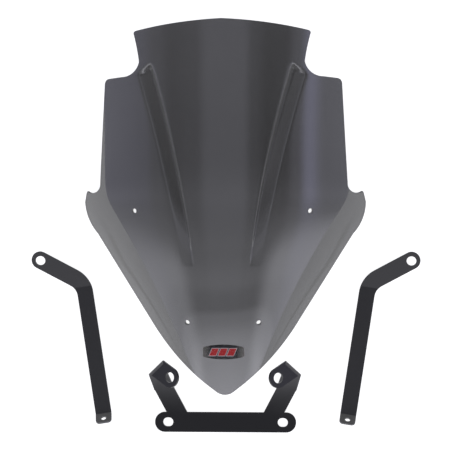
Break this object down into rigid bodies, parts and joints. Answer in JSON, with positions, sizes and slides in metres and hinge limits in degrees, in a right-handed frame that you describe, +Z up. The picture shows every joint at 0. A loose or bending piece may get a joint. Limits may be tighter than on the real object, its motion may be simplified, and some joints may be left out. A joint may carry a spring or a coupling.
{
  "type": "motorcycle windshield kit",
  "caption": "Tinted sport-touring windshield with pressed flutes, side lobes and a small badge, laid out with its two side straps and lower bracket.",
  "frame": {"origin": "on the surface that the kit lies on, under the middle of the whole kit", "axes": "+X to the right, +Y from the screen's nose to its top edge, +Z up, out of the surface, on the screen's outer side"},
  "size_m": [0.4844, 0.5079, 0.0986],
  "materials": {
    "smoked_acrylic": "smoked, polished, 3 mm cast acrylic",
    "badge_print": "printed foil, dark metallic ground with a red device",
    "badge_resin": "clear doming resin",
    "black_steel": "fine-textured black powder coat"
  },
  "bodies": {
    "screen_body": {"screen": "smoked_acrylic", "badge_foil": "badge_print", "badge_dome": "badge_resin"},
    "left_strap_body": {"left_strap": "black_steel"},
    "right_strap_body": {"right_strap": "black_steel"},
    "lower_bracket_body": {"lower_bracket": "black_steel"}
  },
  "joints": [
    {"name": "left_strap_lift", "type": "slide", "parent": "screen_body", "child": "left_strap_body", "axis": [0, 0, 1], "range_m": [0, 0.15]},
    {"name": "right_strap_lift", "type": "slide", "parent": "screen_body", "child": "right_strap_body", "axis": [0, 0, 1], "range_m": [0, 0.15]},
    {"name": "lower_bracket_lift", "type": "slide", "parent": "screen_body", "child": "lower_bracket_body", "axis": [0, 0, 1], "range_m": [0, 0.15]}
  ]
}
